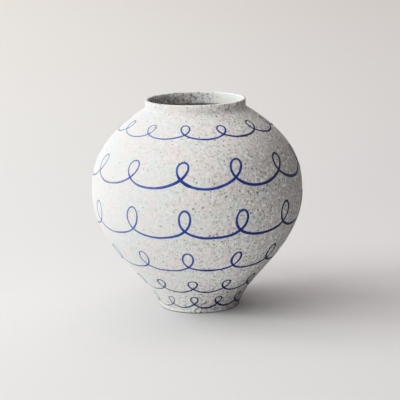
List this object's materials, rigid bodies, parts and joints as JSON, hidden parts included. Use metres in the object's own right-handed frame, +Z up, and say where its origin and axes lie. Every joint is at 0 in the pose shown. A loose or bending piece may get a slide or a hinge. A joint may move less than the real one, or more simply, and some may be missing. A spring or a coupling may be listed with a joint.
{
  "type": "moon jar",
  "caption": "Round speckled stoneware jar for flowers or display, with a foot ring, a short neck collar and rows of trailed blue loops.",
  "frame": {"origin": "centre of the foot ring's resting face, on the table", "axes": "+Z up the jar's axis to the mouth; -Y is the side the picture shows; the jar is round, so X and Y differ only in where the loops stand"},
  "size_m": [0.2518, 0.2518, 0.25],
  "materials": {
    "speckled_clay": "matt off-white stoneware with fine grey-brown specks",
    "clay_slip": "matt, the same clay let down with water",
    "cobalt_slip": "matt cobalt blue, slightly raised"
  },
  "bodies": {
    "root": {"foot_ring": "speckled_clay", "foot_joint_slip": "clay_slip", "lower_bowl": "speckled_clay", "waist_joint_slip": "clay_slip", "upper_bowl": "speckled_clay", "neck_joint_slip": "clay_slip", "neck_collar": "speckled_clay", "loop_line_1": "cobalt_slip", "loop_line_2": "cobalt_slip", "loop_line_3": "cobalt_slip", "loop_line_4": "cobalt_slip", "loop_line_5": "cobalt_slip", "loop_line_6": "cobalt_slip"}
  },
  "joints": []
}
